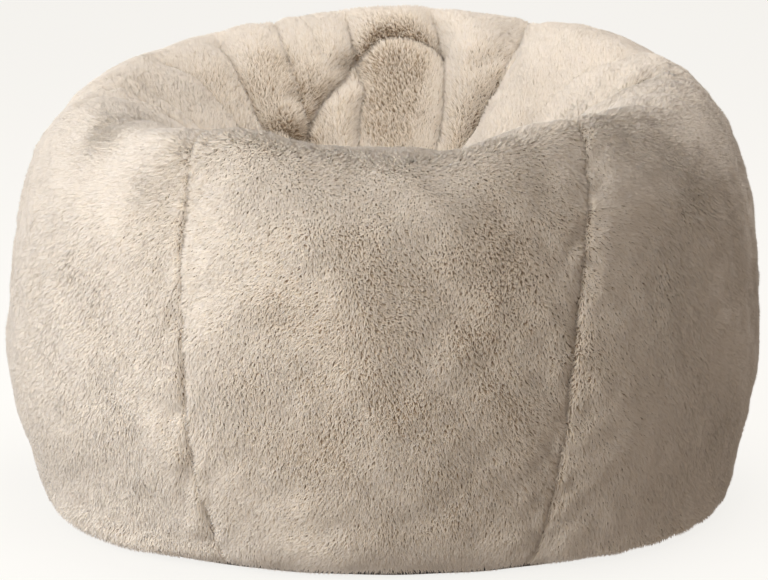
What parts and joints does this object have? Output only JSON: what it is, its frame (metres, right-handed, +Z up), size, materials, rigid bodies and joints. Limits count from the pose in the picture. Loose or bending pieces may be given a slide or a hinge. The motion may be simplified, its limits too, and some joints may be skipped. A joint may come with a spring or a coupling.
{
  "type": "bean bag chair",
  "caption": "Round floor seat of loose beads in a zipped liner, under a zip-off long-pile fur cover of sewn gores, with a rolled rim and a sunken seat hollow.",
  "frame": {"origin": "centre of the base on the floor", "axes": "+Z up, the height and shortest extent; the low side of the rim, where a sitter's legs go, faces -Y"},
  "size_m": [1.038, 1.046, 0.6244],
  "materials": {
    "fur": "matte",
    "base_cloth": "matte",
    "liner_cloth": "matte",
    "cover_zip_tape": "matte",
    "liner_zip_tape": "matte",
    "zip_teeth": "satin",
    "zip_metal": "satin",
    "beads": "matte"
  },
  "bodies": {
    "bag": {"cover_gore_front": "fur", "cover_gore_front_right": "fur", "cover_gore_rear_right": "fur", "cover_gore_rear": "fur", "cover_gore_rear_left": "fur", "cover_gore_front_left": "fur", "cover_top_cap": "fur", "cover_base": "base_cloth", "liner_gore_front": "liner_cloth", "liner_gore_front_right": "liner_cloth", "liner_gore_rear_right": "liner_cloth", "liner_gore_rear": "liner_cloth", "liner_gore_rear_left": "liner_cloth", "liner_gore_front_left": "liner_cloth", "liner_top_cap": "liner_cloth", "liner_base": "liner_cloth", "cover_zip_tape_upper": "cover_zip_tape", "cover_zip_tape_lower": "cover_zip_tape", "cover_zip_teeth_upper": "zip_teeth", "cover_zip_teeth_lower": "zip_teeth", "cover_zip_stops": "zip_metal", "liner_zip_tape_upper": "liner_zip_tape", "liner_zip_tape_lower": "liner_zip_tape", "liner_zip_teeth_upper": "zip_teeth", "liner_zip_teeth_lower": "zip_teeth", "liner_zip_stops": "zip_metal", "bead_fill": "beads"},
    "cover_slider": {"cover_zip_slider": "zip_metal"},
    "cover_pull": {"cover_zip_pull": "zip_metal"},
    "liner_slider": {"liner_zip_slider": "zip_metal"}
  },
  "joints": [
    {"name": "cover_zip_travel", "type": "hinge", "parent": "bag", "child": "cover_slider", "pos_m": [0, 0, 0.02], "axis": [0, 0, -1], "range_deg": [0, 152]},
    {"name": "cover_pull_swing", "type": "hinge", "parent": "cover_slider", "child": "cover_pull", "pos_m": [-0.44154, 0.11524, 0.02], "axis": [0, 0, 1], "range_deg": [0, 170]},
    {"name": "liner_zip_travel", "type": "hinge", "parent": "bag", "child": "liner_slider", "pos_m": [0, 0, 0.024], "axis": [0, 0, -1], "range_deg": [0, 92]}
  ]
}
